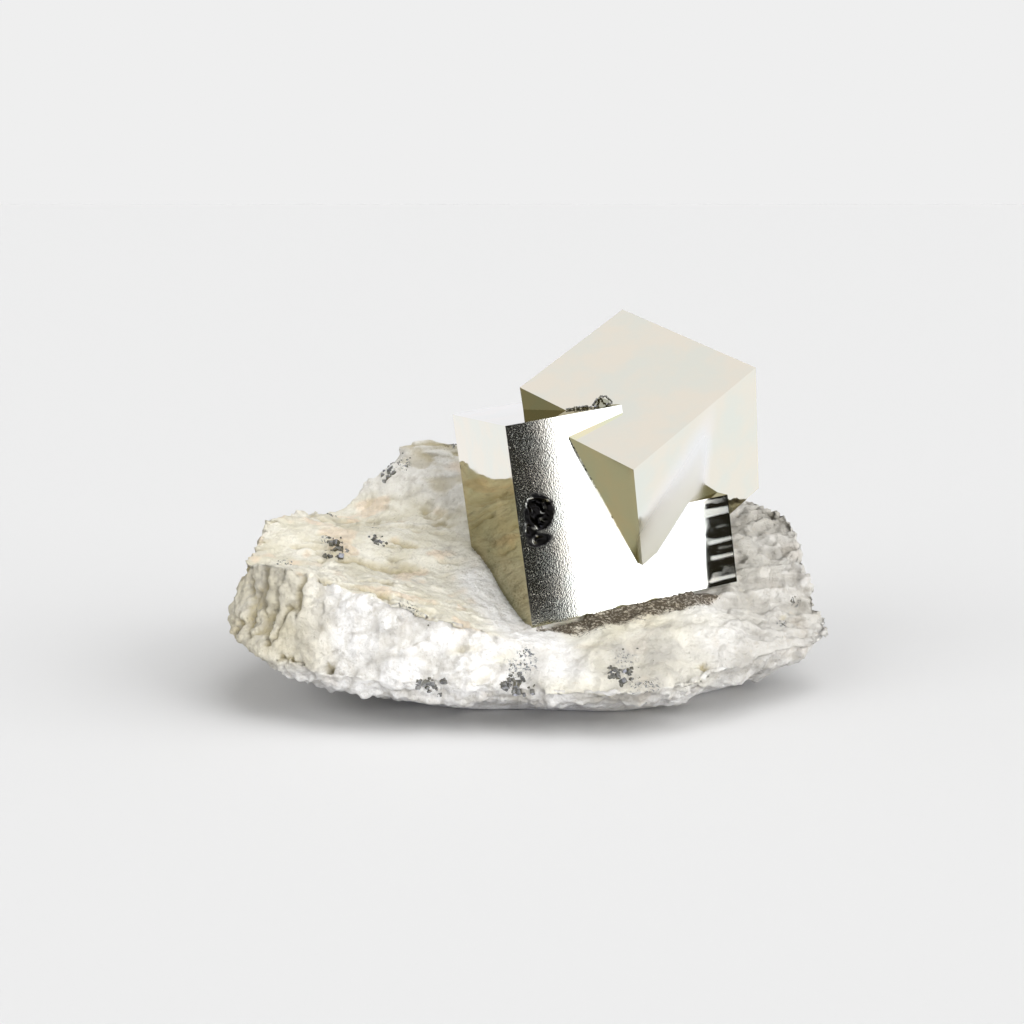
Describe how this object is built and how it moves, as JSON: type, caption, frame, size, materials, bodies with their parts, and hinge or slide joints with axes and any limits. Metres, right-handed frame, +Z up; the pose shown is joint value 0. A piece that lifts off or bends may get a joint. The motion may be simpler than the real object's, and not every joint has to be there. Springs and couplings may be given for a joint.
{
  "type": "pyrite specimen",
  "caption": "Intergrown mirror-bright pyrite cubes seated on a rough lump of pale marl; a free-standing display mineral specimen that rests on its flattened underside.",
  "frame": {"origin": "middle of the specimen's footprint (centre of the bounding box in plan), on the surface it rests on", "axes": "+Z up, +X to the right along the long side of the matrix, -Y towards the viewer and the large exposed crystal face"},
  "size_m": [0.0796, 0.0548, 0.0486],
  "materials": {
    "marl": "matt, rough, crumbly pale limestone marl",
    "pyrite": "natural mirror-bright pale brassy metallic crystal faces"
  },
  "bodies": {
    "root": {"matrix": "marl", "pyrite_crystals": "pyrite", "pyrite_grain_hump": "pyrite", "pyrite_grain_plateau_left": "pyrite", "pyrite_grain_plateau_mid": "pyrite", "pyrite_grain_front_left": "pyrite", "pyrite_grain_front_mid": "pyrite", "pyrite_grain_front_right": "pyrite"}
  },
  "joints": []
}
